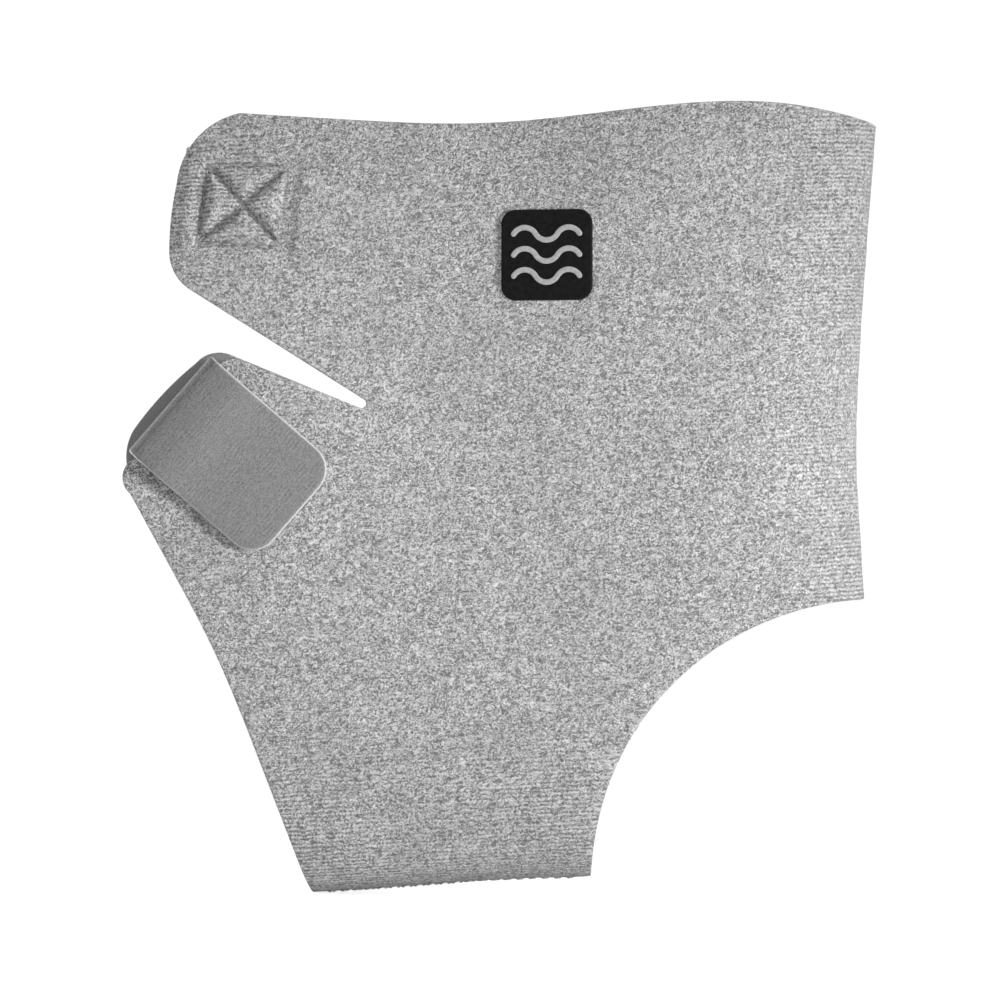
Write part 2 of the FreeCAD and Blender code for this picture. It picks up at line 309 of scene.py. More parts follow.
HEEL_END = math.pi / 2 - 0.1


def clipped(x, z):
    """Pattern points of a plan line, kept above the sole line and in front of the Achilles fold."""
    along, q = unfold(x, z)
    keep = (x < at_height(z)[0] - FOLD_CLEARANCE) & (z > lift(x) + SOLE_CLEARANCE)
    return np.stack([along[keep], q[keep]], axis=-1)


def half_outline(side, step):
    """Pattern runs of one half, from the Achilles fold's top round the front to the heel hole's top."""
    top = clipped(*spline_points(TOP_EDGE)[::-1].T)
    runs = [np.concatenate([[(0.0, top[0, 1])], top])]
    runs += [clipped(*run_points(run).T) for run in FRONT_RUNS[side]]
    runs[-1] = np.concatenate([runs[-1], [(runs[-1][-1, 0], SOLE_Q)]])
    bend = np.linspace(math.pi, HEEL_END, 400)
    heel = clipped(HEEL_CORNER[0] + HEEL_RADIUS * np.cos(bend), HEEL_CORNER[1] + HEEL_RADIUS * np.sin(bend))
    heel = np.concatenate([[(heel[0, 0], SOLE_Q)], heel, [(0.0, heel[-1, 1])]])
    runs += [np.array([runs[-1][-1], heel[0]]), heel]
    return [even(run, step) * (side, 1) for run in runs]


def wrap_outline(step):
    """The whole pattern as one closed loop, counter-clockwise in (p, q)."""
    medial = half_outline(-1, step)
    lateral = [run[::-1] for run in half_outline(1, step)[::-1]]
    loop = np.concatenate([run[:-1] for run in medial + lateral])
    gap = np.linalg.norm(loop - np.roll(loop, 1, axis=0), axis=1)
    return loop[gap > 0.05]


def loop_area(loop):
    """The loop's area, positive where it runs counter-clockwise."""
    x, y = loop[:, 0], loop[:, 1]
    return 0.5 * float(np.sum(x * np.roll(y, -1) - y * np.roll(x, -1)))


def inside(loop, points):
    """Whether each point lies inside the closed loop."""
    found = np.zeros(len(points), bool)
    x, y = points[:, 0], points[:, 1]
    for (ax, ay), (bx, by) in zip(loop, np.roll(loop, -1, axis=0)):
        crosses = (ay > y) != (by > y)
        if by != ay:
            found ^= crosses & (x < (bx - ax) * (y - ay) / (by - ay) + ax)
    return found


def within(loops, points):
    """Whether each point lies inside the first loop and outside the others, which are its holes."""
    found = inside(loops[0], points)
    for hole in loops[1:]:
        found &= ~inside(hole, points)
    return found


def edge_distance(loop, points):
    """Distance from each point to the closed loop, by the sides that meet at its nearest corner."""
    tree = KDTree(len(loop))
    for i, (x, y) in enumerate(loop):
        tree.insert((x, y, 0), i)
    tree.balance()
    near = np.array([tree.find((x, y, 0))[1] for x, y in points], int).reshape(-1)
    best = np.full(len(points), 1e9)
    for shift in (-1, 0):
        a = loop[(near + shift) % len(loop)]
        d = loop[(near + shift + 1) % len(loop)] - a
        t = np.clip(((points - a) * d).sum(axis=1) / np.maximum((d * d).sum(axis=1), 1e-12), 0, 1)
        best = np.minimum(best, np.linalg.norm(points - a - t[:, None] * d, axis=1))
    return best


def left_of(loop):
    """Unit normals to the left of a closed loop, which point inwards where it is counter-clockwise."""
    along = unit(np.roll(loop, -1, axis=0) - np.roll(loop, 1, axis=0))
    return np.stack([-along[:, 1], along[:, 0]], axis=-1)


CROWDED = 0.93


def inset(loop, distance):
    """A counter-clockwise loop moved inwards, less the points that its corners crowd out."""
    moved = loop + distance * left_of(loop)
    keep = (edge_distance(loop, moved) > CROWDED * distance) & inside(loop, moved)
    return moved[keep]


ROW_SPACING = 0.866
SCATTER = 0.1


def hex_points(low, high, step, seed):
    """Staggered points over a rectangle, each a little off its place."""
    rows = np.arange(low[1], high[1], step * ROW_SPACING)
    grid = []
    for k, y in enumerate(rows):
        x = np.arange(low[0] + (k % 2) * step / 2, high[0], step)
        grid.append(np.stack([x, np.full(len(x), y)], axis=-1))
    grid = np.concatenate(grid)
    return grid + np.random.default_rng(seed).uniform(-SCATTER, SCATTER, grid.shape) * step


# ---------------- cloth meshes

RIM_SHARES = (0.3, 1.0)
MERGE_GAP = 1e-6
SLIVER = 1e-4


def cap(loops, step, rim, fine, whole, seed):
    """A flat piece: its points, their distances from the cut edge, its triangles and its borders.

    loops are the outline, counter-clockwise, and any holes, clockwise. fine holds loops with a
    smaller step inside them, and whole is the cut edge where it isn't the outline itself.
    """
    outline = loops[0]
    edge = whole if whole is not None else outline

    def gap_of(points):
        gaps = [edge_distance(edge, points)] + [edge_distance(hole, points) for hole in loops[1:]]
        return np.min(gaps, axis=0)

    grids = []
    coarse = hex_points(outline.min(0), outline.max(0), step, seed)
    for loop, small in fine:
        coarse = coarse[~inside(loop, coarse)]
        patch = hex_points(loop.min(0), loop.max(0), small, seed + 1)
        grids.append(patch[inside(loop, patch)])
    grid = np.concatenate([*grids, coarse])
    grid = grid[within(loops, grid)]
    gap = gap_of(grid)
    near = np.minimum(gap, edge_distance(outline, grid))
    keep = near > rim + 0.35 * min(step, 1.6)
    grid, gap = grid[keep], gap[keep]
    rings = []
    for share in RIM_SHARES:
        ring = inset(edge, share * rim)
        if whole is not None:
            ring = ring[inside(outline, ring) & (edge_distance(outline, ring) > 0.25 * share * rim)]
        rings.append(ring)
        for hole in loops[1:]:
            back = hole[::-1]
            rings.append(back - share * rim * left_of(back))
    points = np.concatenate([*loops, *rings, grid])
    gaps = np.concatenate([gap_of(np.concatenate([*loops, *rings])), gap])
    edges, borders, at = [], [], 0
    for loop in loops:
        count = len(loop)
        borders.append(list(range(at, at + count)))
        edges += [(at + i, at + (i + 1) % count) for i in range(count)]
        at += count
    made = delaunay_2d_cdt([Vector(v) for v in points], edges, [], 0, MERGE_GAP)
    flat, triangles, sources = np.array([tuple(v) for v in made[0]]), np.array(made[2]), made[3]
    place = {}
    spread = np.zeros(len(flat))
    for new, old in enumerate(sources):
        for i in old:
            place[i] = new
        spread[new] = gaps[old[0]] if len(old) else 0.0
    triangles = triangles[within(loops, flat[triangles].mean(axis=1))]
    a, b, c = (flat[triangles[:, i]] for i in range(3))
    area = (b[:, 0] - a[:, 0]) * (c[:, 1] - a[:, 1]) - (b[:, 1] - a[:, 1]) * (c[:, 0] - a[:, 0])
    triangles[area < 0] = triangles[area < 0][:, ::-1]
    triangles = triangles[np.abs(area) > SLIVER]
    borders = [[place[i] for i in border] for border in borders]
    return flat, spread, triangles, borders


def rounded(gap, radius):
    """How far a rounded rim has dropped at a distance from the cut edge."""
    rest = np.clip(radius - gap, 0, radius)
    return radius - np.sqrt(np.maximum(radius * radius - rest * rest, 0))


RELIEF_FADE = 1.2


def shell(name, loops, surface, outer, inner, steps, rim, relief=None, fine=(), whole=None, extra=()):
    """A closed piece of cloth between two depths under a surface.

    Depths count inwards. relief raises the outer face, and steps are the point spacings of the
    outer and inner faces. Each vertex keeps its pattern place and its distance from the cut edge.
    """
    flat_out, gap_out, tris_out, borders_out = cap(loops, steps[0], rim, fine, whole, 1)
    flat_in, gap_in, tris_in, borders_in = cap(loops, steps[1], rim, (), whole, 2)
    corners = []
    for flat, gap, depth, sign in ((flat_out, gap_out, outer, 1), (flat_in, gap_in, inner, -1)):
        p, q = flat[:, 0], flat[:, 1]
        away = normals(surface, p, q)
        place = surface(p, q)
        down = depth + sign * rounded(gap, rim)
        if relief is not None and sign > 0:
            down = down - relief(p, q, place) * smooth(gap / RELIEF_FADE)
        corners.append(place - away * down[:, None])
    count = len(flat_out)
    faces = tris_out.tolist() + (tris_in[:, ::-1] + count).tolist()
    for top, bottom in zip(borders_out, borders_in):
        for i in range(len(top)):
            j = (i + 1) % len(top)
            faces.append([top[i], bottom[i] + count, bottom[j] + count, top[j]])
    verts = np.concatenate(corners)
    cloth = np.concatenate([flat_out, flat_in])
    fields = {"cloth": np.column_stack([cloth, np.zeros(len(cloth))])}
    fields["edge"] = np.concatenate([gap_out, gap_in])
    for key, value in extra:
        fields[key] = value(cloth[:, 0], cloth[:, 1], verts)
    return make_mesh(name, verts, faces, fields)


def make_mesh(name, verts, faces, fields):
    """A mesh object from millimetre points, with named fields on its vertices."""
    mesh = bpy.data.meshes.new(name)
    mesh.from_pydata((np.asarray(verts) * MM).tolist(), [], faces)
    for key, values in fields.items():
        values = np.asarray(values, np.float32)
        kind = "FLOAT_VECTOR" if values.ndim == 2 else "FLOAT"
        slot = "vector" if values.ndim == 2 else "value"
        mesh.attributes.new(key, kind, "POINT").data.foreach_set(slot, values.ravel())
    mesh.polygons.foreach_set("use_smooth", [True] * len(mesh.polygons))
    mesh.validate()
    made = bpy.data.objects.new(name, mesh)
    bpy.context.collection.objects.link(made)
    return made


# a direction that no thread follows, and a thread end's share of its radius
ASIDE = (0.13, 0.31, 0.94)
THREAD_END = 0.45


def tubes(name, paths, radius, sides=6):
    """Threads along several open paths of millimetre points, each closed at its ends."""
    verts, faces = [], []
    for path in paths:
        count = len(path)
        along = unit(np.gradient(path, axis=0))
        across = unit(np.cross(along, ASIDE))
        other = np.cross(along, across)
        base = len(verts)
        for i in range(count):
            share = THREAD_END if i in (0, count - 1) else 1.0
            for k in range(sides):
                turn = 2 * math.pi * k / sides
                offset = across[i] * math.cos(turn) + other[i] * math.sin(turn)
                verts.append(path[i] + radius * share * offset)
        for i in range(count - 1):
            for k in range(sides):
                n = (k + 1) % sides
                at = base + i * sides
                faces.append([at + k, at + n, at + sides + n, at + sides + k])
        faces.append([base + k for k in range(sides)][::-1])
        faces.append([base + (count - 1) * sides + k for k in range(sides)])
    return make_mesh(name, verts, faces, {})


# ---------------- the wrap's layers

# from this distance along the pattern to 12 mm further, the ripples die down to a third
STEADY_FROM = 168
STEADY_SPAN = 12
LEAST_RIPPLE = 0.35


def ripple(p, q):
    """The soft unevenness of a wrap that has been worn and washed, in millimetres."""
    wide = 0.42 * np.sin(p / 17.0 + 0.8) * np.sin(q / 21.0 + 0.4) + 0.3 * np.sin(p / 11.0 - q / 26.0 + 2.0)
    small = 0.07 * np.sin(p / 2.7 + 1.3 * np.sin(q / 4.1)) * np.sin(q / 3.3 + 1.1 * np.sin(p / 5.2))
    steady = smooth((np.abs(p) - STEADY_FROM) / STEADY_SPAN)
    return (wide + small) * (LEAST_RIPPLE + (1 - LEAST_RIPPLE) * (1 - steady)) * calm(p, q)


def calm(p, q):
    """0 where the straps lie and under the badge, so that they lie flat, and 1 further off."""
    still = np.ones(np.shape(p))
    for side, x, z, near, far in CALM_SPOTS:
        along, rise = unfold(x, z)
        distance = np.hypot(p - side * along, q - rise)
        still = still * smooth((distance - near) / (far - near))
    return still


# half, X and Z of the middle, radius that stays calm, radius where the ripples are whole
CALM_SPOTS = [
    (1, -58.0, 163.0, 24.0, 44.0),
    (-1, -64.0, 104.0, 26.0, 44.0),
    (-1, -62.0, 163.0, 12.0, 30.0),
    (1, -70.0, 111.0, 12.0, 30.0),
    (-1, 10.9, 151.6, 12.0, 26.0),
]


def body(p, q):
    """Points of the rippled outer face."""
    base = form(p, q)
    return base + normals(form, p, q) * ripple(p, q)[..., None]


# corners of the crossed box on each half
SEWN = {
    -1: np.array([(-69.8, 173.3), (-50.3, 173.3), (-52.5, 153.6), (-72.4, 154.9)]),
    1: np.array([(-70.8, 124.4), (-56.7, 113.4), (-70.3, 97.9), (-83.4, 108.6)]),
}
# height, distance from the sewn line and width
GROOVE = (-1.15, 0.0, 0.8)
OUTER_PUFF = (1.15, 3.2, 2.0)
VALLEY = (-1.6, 1.9, 2.6)
# height, and the distance over which it is reached
PUFF = (1.3, 3.0)
STEP_UP = (0.55, 3.0)
GROOVE_FADE = 9.0


def segment_distance(x, z, a, b):
    """Distance of plan points from the line between a and b."""
    ax, az = a
    dx, dz = b[0] - ax, b[1] - az
    t = np.clip(((x - ax) * dx + (z - az) * dz) / (dx * dx + dz * dz), 0, 1)
    return np.hypot(x - ax - t * dx, z - az - t * dz)


def sewn_lines(corners):
    """A crossed box's four sides and then its two diagonals."""
    around = [(corners[i], corners[(i + 1) % 4]) for i in range(4)]
    return around + [(corners[0], corners[2]), (corners[1], corners[3])]


def ridge(distance, height, at, width):
    """A bell-shaped rise of a height at one distance."""
    return height * np.exp(-(((distance - at) / width) ** 2))


def sewn_relief(p, q, place):
    """The crossed box's stitched grooves, the puffs between them and the step over the strap's sewn end."""
    x, z = place[:, 0], place[:, 2]
    total = np.zeros(len(x))
    for side, corners in SEWN.items():
        lines = sewn_lines(corners)
        nearest = np.min([segment_distance(x, z, *line) for line in lines], axis=0)
        box_gap = np.min([segment_distance(x, z, *line) for line in lines[:4]], axis=0)
        in_box = inside(corners, np.column_stack([x, z]))
        reach = np.where(in_box, 1.0, smooth(1 - box_gap / GROOVE_FADE))
        groove = ridge(nearest, *GROOVE)
        puff = np.where(in_box, PUFF[0] * smooth(nearest / PUFF[1]), 0.0)
        outer_puff = np.where(in_box, 0.0, ridge(box_gap, *OUTER_PUFF))
        far_line = segment_distance(x, z, corners[1], corners[2])
        valley = np.where(in_box, 0.0, ridge(far_line, *VALLEY))
        step_up = STEP_UP[0] * smooth(1 - np.where(in_box, 0.0, box_gap) / STEP_UP[1])
        relief = groove * reach + puff + outer_puff + valley + step_up
        total = total + np.where(np.sign(p) == side, relief, 0.0)
    return total


def rib_field(p, q, place):
    """How plainly the knit's rows show: most on the tabs, the foot and near the Achilles tendon."""
    x, z = place[:, 0], place[:, 2]
    rows = 0.12 + 0.75 * smooth(1 - np.hypot((x + 66) / 24, (z - 163) / 26))
    rows = rows + 0.35 * smooth((46 - z) / 30)
    rows = rows + 0.4 * smooth((x - 58) / 26) * (p < 0)
    rows = rows + 0.18 * (p > 0)
    cloudy = 0.75 + 0.35 * np.sin(p / 13.0 + 1.7 * np.sin(q / 19.0)) * np.sin(q / 15.0 + 0.6)
    return np.clip(rows * cloudy, 0, 1)


FAR_FROM_SEAMS = 9.0


def seam_field(p, q, place):
    """Distance from the nearest stitched line, in millimetres."""
    nearest = np.full(len(p), FAR_FROM_SEAMS)
    for side, corners in SEWN.items():
        for line in sewn_lines(corners):
            away = segment_distance(place[:, 0], place[:, 2], *line)
            nearest = np.where(np.sign(p) == side, np.minimum(nearest, away), nearest)
    return nearest


OUTLINE = wrap_outline(0.7)


def pattern_loop(side, points):
    """A plan loop as a counter-clockwise pattern loop on one half."""
    points = np.asarray(points, float)
    along, q = unfold(*points.T)
    loop = np.column_stack([side * along, q])
    return loop if loop_area(loop) > 0 else loop[::-1]


def widened(corners, amount):
    """The corners moved away from their middle by about this amount."""
    middle = corners.mean(axis=0)
    return middle + (corners - middle) * (1 + amount / np.abs(corners - middle).mean())


def through(corners, step):
    """Points along straight sides from corner to corner, less the last corner."""
    sides = [line_points(a, b, step)[:-1] for a, b in zip(corners, corners[1:])]
    return np.concatenate(sides)


def closed(corners, step):
    """A loop through the corners, with points along its sides."""
    return through([*corners, corners[0]], step)


FINE_MARGIN = 5.0
FINE_STEP = 0.62
fine_spots = [
    (pattern_loop(side, closed(widened(corners, FINE_MARGIN), 1.0)), FINE_STEP)
    for side, corners in SEWN.items()
]
cover = shell(
    "outer_cover_knit", [OUTLINE], body, 0.0, COVER, (1.45, 4.0), 0.42,
    relief=sewn_relief, fine=fine_spots, extra=[("rib", rib_field), ("seam", seam_field)],
)

LAYER_GAP = 0.05
FOAM_OUTLINE = even_loop(inset(OUTLINE, 0.55), 0.9)
LINING_OUTLINE = even_loop(inset(OUTLINE, 0.3), 0.8)


def joined(runs, step):
    """One plan loop from runs of points, evenly spaced."""
    return np.concatenate([even(run_points(run), step)[:-1] for run in runs])


WINDOW_TOP = 175.5
SIDE_WINDOW = chained(
    (-20.0, 174.0),
    [(54.0, WINDOW_TOP)],
    [(54.0, 71.0)],
    [(28.0, 55.0), (12.0, 24.0)],
    [(-40.0, 24.0)],
    [(-46.0, 42.0), (-50.0, 70.0), (-22.0, 104.0)],
    [(-20.0, 174.0)],
)
REAR_WINDOW_X = 60.0
REAR_WINDOW_FOOT = 76.0
# the window's lowest and highest points at the Achilles line
REAR_WINDOW_LOW = (0.0, 80.0)
REAR_WINDOW_HIGH = (0.0, 174.0)


def rear_window(step):
    """The Achilles pad's window as one pattern loop across both halves."""
    line = even(np.array([(REAR_WINDOW_X, REAR_WINDOW_FOOT), (REAR_WINDOW_X, WINDOW_TOP)]), step)
    along, q = unfold(*line.T)
    medial = np.column_stack([-along, q])[::-1]
    lateral = np.column_stack([along, q])
    under = through([medial[-1], REAR_WINDOW_LOW, lateral[0]], step)[1:]
    over = through([lateral[-1], REAR_WINDOW_HIGH, medial[0]], step)[1:]
    return np.concatenate([medial, under, lateral, over])


WINDOW_STEP = 2.0
windows = {
    "medial_gel_pad": pattern_loop(-1, joined(SIDE_WINDOW, WINDOW_STEP)),
    "lateral_gel_pad": pattern_loop(1, joined(SIDE_WINDOW, WINDOW_STEP)),
    "achilles_gel_pad": rear_window(WINDOW_STEP),
}
CORE_DEPTHS = (COVER + LAYER_GAP, COVER + CORE - LAYER_GAP)
FOAM_HOLES = [loop[::-1] for loop in windows.values()]
foam = shell("foam_core_sheet", [FOAM_OUTLINE, *FOAM_HOLES], body, *CORE_DEPTHS, (3.5, 3.5), 0.25)
lining = shell("inner_lining_knit", [LINING_OUTLINE], body, COVER + CORE, LAMINATE, (3.5, 2.0), 0.22)
gel_pads = {}
for node, loop in windows.items():
    gel_pads[node] = shell(node + "_filled", [inset(loop, 0.4)], body, *CORE_DEPTHS, (2.6, 2.6), 0.8)

# ---------------- the badge

BADGE_AT = (10.9, 151.6)
BADGE_SIZE = 21.6
BADGE_CORNER = 3.4
BADGE = 0.7
MOTIF = 0.3
WAVE_RADIUS = 3.0
WAVE_STROKE = 1.3
WAVE_PITCH = 5.0


def quarter(x, z, radius, end, step):
    """Points on the quarter turn round a middle that comes to the angle end."""
    turn = np.linspace(-math.pi / 2, 0, max(6, int(radius * 1.6 / step))) + end
    return np.column_stack([x + radius * np.cos(turn), z + radius * np.sin(turn)])


def rounded_square(x, z, size, corner, step):
    """Loop of a square with round corners, about its middle."""
    reach = size / 2 - corner
    turns = [
        quarter(x + right * reach, z + up * reach, corner, (k + 1) * math.pi / 2, step)
        for k, (right, up) in enumerate(((1, 1), (-1, 1), (-1, -1), (1, -1)))
    ]
    return even_loop(np.concatenate(turns), step)


def wave_loop(x, z, step):
    """Outline of a level wave: three half rounds with round ends."""
    chord = WAVE_RADIUS * math.sqrt(3)
    middle = []
    for i, up in enumerate((1, -1, 1)):
        turn = np.linspace(math.radians(150), math.radians(30), 24)
        centre_x = x + (i - 1) * chord
        middle += [
            (centre_x + WAVE_RADIUS * math.cos(t), z + up * (WAVE_RADIUS * math.sin(t) - WAVE_RADIUS / 2))
            for t in turn
        ][:-1 if i < 2 else None]
    middle = even(np.array(middle), step)
    along = unit(np.gradient(middle, axis=0))
    side = np.column_stack([-along[:, 1], along[:, 0]]) * WAVE_STROKE / 2
    ends = []
    for at, heading in ((middle[-1], along[-1]), (middle[0], -along[0])):
        start = math.atan2(heading[1], heading[0])
        turn = np.linspace(start - math.pi / 2, start + math.pi / 2, 9)[1:-1]
        ends.append(np.column_stack([np.cos(turn), np.sin(turn)]) * WAVE_STROKE / 2 + at)
    return np.concatenate([middle - side, ends[0], (middle + side)[::-1], ends[1]])


badge = shell(
    "badge_patch", [pattern_loop(-1, rounded_square(*BADGE_AT, BADGE_SIZE, BADGE_CORNER, 0.5))],
    body, -BADGE, 0.0, (0.9, 2.0), 0.32,
)
waves = []
for k in range(3):
    loop = pattern_loop(-1, wave_loop(BADGE_AT[0], BADGE_AT[1] + (k - 1) * WAVE_PITCH, 0.25))
    waves.append(shell(
        f"badge_wave_{k + 1}", [loop], body, -BADGE - MOTIF, -BADGE + LAYER_GAP, (0.35, 0.6), 0.18,
    ))

# ---------------- sewing

THREAD = 0.2
STITCH = 2.3
STITCH_PITCH = 2.9
STITCH_DIP = 0.35


def on_cover(side, x, z, raised):
    """Points a little above the cover's sewn relief, from plan points on one half."""
    along, q = unfold(x, z)
    p = side * along
    place = body(p, q)
    away = normals(body, p, q)
    return place + away * (sewn_relief(p, q, place) + raised)[:, None]


stitching = {}
for side, strap_name in ((-1, "upper_strap"), (1, "lower_strap")):
    paths = []
    for a, b in sewn_lines(SEWN[side]):
        span = math.dist(a, b)
        count = round(span / STITCH_PITCH)
        for k in range(count):
            middle = (k + 0.5) / count
            t = middle + np.linspace(-0.5, 0.5, 7) * STITCH / span
            line = a + t[:, None] * (b - a)
            raised = THREAD * 0.7 - STITCH_DIP * np.abs(np.linspace(-1, 1, 7)) ** 3
            paths.append(on_cover(side, *line.T, raised))
    stitching[strap_name] = tubes(strap_name + "_box_stitches", paths, THREAD)

SEAM_PITCH = 3.0
SEAM_WIDTH = 5.0
TAPE = 0.6
TAPE_WIDTH = 12.0
SEAM_MARGIN = 3.0
SEAM_FROM = SOLE_TOE_X + SEAM_MARGIN
SEAM_TO = HEEL_CORNER[0] - HEEL_RADIUS - SEAM_MARGIN
SEAM_THREAD = 0.22
TAPE_PAST_SEAM = 2


def sole(x, across):
    """The wrap's outer face near the sole seam, from X and the distance across the seam."""
    along = ACHILLES_REACH + at_height(lift(x))[0] - ACHILLES_ROUND - x
    return body(np.where(across < 0, -along, along), SOLE_Q + np.abs(across))


rungs = np.arange(SEAM_FROM, SEAM_TO, SEAM_PITCH / 2)
zigzag = []
for k in range(len(rungs) - 1):
    t = np.linspace(0, 1, 8)
    x = rungs[k] + t * (rungs[k + 1] - rungs[k])
    across = (t - 0.5) * SEAM_WIDTH * (1 if k % 2 else -1)
    zigzag.append(np.column_stack([x, across]))
zigzag = np.concatenate(zigzag)
seam_place = sole(*zigzag.T)
seam_away = -normals(sole, zigzag[:, 0], np.where(np.abs(zigzag[:, 1]) < 0.1, 0.1, zigzag[:, 1]))
seam = tubes("sole_seam_flatlock", [seam_place + seam_away * 0.1], SEAM_THREAD)
tape_from, tape_to = SEAM_FROM - TAPE_PAST_SEAM, SEAM_TO + TAPE_PAST_SEAM
tape_side = TAPE_WIDTH / 2
tape_loop = closed(
    [(tape_from, -tape_side), (tape_to, -tape_side), (tape_to, tape_side), (tape_from, tape_side)], 1.0
)
tape = shell("sole_seam_tape_strip", [tape_loop], sole, -LAMINATE - TAPE, -LAMINATE, (1.6, 3.0), 0.2)

# ---------------- straps

STRAP = 1.4
FOLD_RADIUS = 3.25
FOLD_LENGTH = math.pi * FOLD_RADIUS
ANCHOR_LENGTH = 26.0
BLEND_TURN = 18.0
# how high the free end springs, at which distance past the fold, and over which width
SPRING = (1.5, 6.0, 6.5)
HOOK_BACKING = 0.25
HOOK_BORDER = 2.0
HOOK_ROW = 1.5
HOOK_PITCH = 1.2
HOOK_WIRE = 0.09
# a hook's points: distance along the strap and depth under the strap's inner face
HOOK_BEND = [(0, 0.2), (0, 0.42), (0.06, 0.58), (0.2, 0.64), (0.3, 0.55)]
# a ribbon's pieces: name, hinge line's turn round the fold, and the nodes that it stands for
RIBBON = [
    ("sewn_end", 270, ["anchor"]),
    ("fold_lower", 210, ["fold_1"]),
    ("fold_upper", 150, ["fold_2", "fold_3"]),
    ("pad", 90, ["free_end"]),
]


class Strap:
    """A strap as a ribbon: u runs along it from the fold's first hinge line, and t across it."""

    def __init__(self, name, nose, slope, side, width, length, corner):
        self.name, self.side, self.width, self.corner = name, side, width, corner
        fall = math.radians(slope)
        self.inward = np.array([math.cos(fall), 0.0, -math.sin(fall)])
        self.up = np.array([math.sin(fall), 0.0, math.cos(fall)])
        self.across = np.array([0.0, float(side), 0.0])
        self.outer = FOLD_RADIUS + STRAP / 2
        self.centre = np.array([nose[0], side * FOLD_RADIUS, nose[1]]) + self.inward * self.outer
        self.tip = FOLD_LENGTH + length

    def place(self, x, y, t):
        """Points in the wrap's axes, from the strap's own."""
        x, y, t = np.broadcast_arrays(x, y, t)
        return (
            self.centre + x[..., None] * self.inward + y[..., None] * self.across
            - t[..., None] * self.up * self.side
        )

    def face(self, u, t):
        """The ribbon's outer face."""
        u, t = np.broadcast_arrays(np.asarray(u, float), np.asarray(t, float))
        turn = math.radians(270) - np.clip(u / FOLD_RADIUS, 0, math.pi)
        lie = -0.5 * smooth((-u - 6.0) / 10.0)
        free = np.maximum(u - FOLD_LENGTH, 0)
        slack = 0.1 * np.sin(free / 7.0) * smooth(free / 8.0) * np.sin(t / 6.0 + 0.6)
        spring = ridge(u - FOLD_LENGTH, *SPRING)
        x = self.outer * np.cos(turn) + np.maximum(-u, 0) + free
        y = self.outer * np.sin(turn) + lie + slack + spring
        return self.place(x, y, t)

    def point(self, degrees, x=0.0):
        """A point of the ribbon's middle line, in metres, by its turn round the fold."""
        turn = math.radians(degrees)
        return tuple(self.place(FOLD_RADIUS * math.cos(turn) + x, FOLD_RADIUS * math.sin(turn), 0.0) * MM)

    def outline(self, start, end, border=0.0, step=0.5):
        """The ribbon's loop from u = start to u = end, with round corners where end is the tip."""
        half = self.width / 2 - border
        at_tip = end > self.tip - border - 0.01
        corner = self.corner - border if at_tip else 0.0
        near, side = end - corner, half - corner
        runs = [line_points((start, -half), (near, -half), step)[:-1]]
        if at_tip:
            lower = quarter(near, -side, corner, 0.0, step)
            upper = quarter(near, side, corner, math.pi / 2, step)
            runs += [lower, line_points(lower[-1], (end, side), step)[1:-1], upper[:-1]]
        else:
            runs.append(line_points((end, -half), (end, half), step)[:-1])
        runs.append(through([(near, half), (start, half), (start, -half)], step))
        return np.concatenate(runs)

    def build(self):
        """The ribbon in four pieces, cut at the fold's hinge lines."""
        whole = self.outline(-ANCHOR_LENGTH, self.tip)
        cuts = [FOLD_RADIUS * math.radians(d) for d in (30, 90, 150)]
        spans = zip([-ANCHOR_LENGTH, *cuts], [*cuts, self.tip])
        pieces = []
        for i, ((start, end), (label, turn, nodes)) in enumerate(zip(spans, RIBBON)):
            step = 0.85 if end - start > FOLD_LENGTH else 0.5
            piece = shell(
                f"{self.name}_{label}", [self.outline(start, end)], self.face, 0.0, STRAP,
                (step, step), 0.5, whole=whole,
            )
            self.sharpen(piece, cuts)
            first = self.point(270, 1.0) if i == 0 else self.point(turn + BLEND_TURN)
            last = self.point(90, 1.0) if i == 3 else self.point(turn - BLEND_TURN)
            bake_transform(piece)
            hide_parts(*[f"{self.name}_{node}" for node in nodes])
            pieces.append(piece)
        return pieces

    def sharpen(self, piece, cuts):
        """Keeps the shading smooth across a cut by giving the cut's own wall sharp edges."""
        cloth = np.zeros(len(piece.data.vertices) * 3, np.float32)
        piece.data.attributes["cloth"].data.foreach_get("vector", cloth)
        on_cut = (np.abs(cloth.reshape(-1, 3)[:, :1] - cuts) < 1e-3).any(axis=1)
        for edge in piece.data.edges:
            edge.use_edge_sharp = bool(on_cut[edge.vertices[0]] and on_cut[edge.vertices[1]])

    def hooks(self):
        """The hook patch: a thin backing with rows of small bent hooks."""
        start, end = FOLD_LENGTH + 4.0, self.tip - HOOK_BORDER
        backing = shell(
            f"{self.name}_hook_backing", [self.outline(start, end, HOOK_BORDER)], self.face,
            STRAP, STRAP + HOOK_BACKING, (1.6, 1.2), 0.1,
        )
        paths = []
        half = self.width / 2 - HOOK_BORDER - HOOK_PITCH
        for row, u in enumerate(np.arange(start + HOOK_PITCH, end - 1.0, HOOK_ROW)):
            for t in np.arange(-half + (row % 2) * HOOK_PITCH / 2, half, HOOK_PITCH):
                past_corner = math.hypot(max(0, u - (end - 4.0)), max(0, abs(t) - (half - 3.0)))
                if past_corner > 3.6:
                    continue
                lean = 1 if row % 2 else -1
                us = np.array([u + lean * along for along, _ in HOOK_BEND])
                ts = np.full(len(HOOK_BEND), t)
                down = np.array([STRAP + height for _, height in HOOK_BEND])
                paths.append(self.face(us, ts) - normals(self.face, us, ts) * down[:, None])
        barbs = tubes(f"{self.name}_hooks", paths, HOOK_WIRE, sides=5)
        for piece in (backing, barbs):
            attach(piece, f"{self.name}_end")
        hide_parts(f"{self.name}_hook_patch")
        return backing, barbs


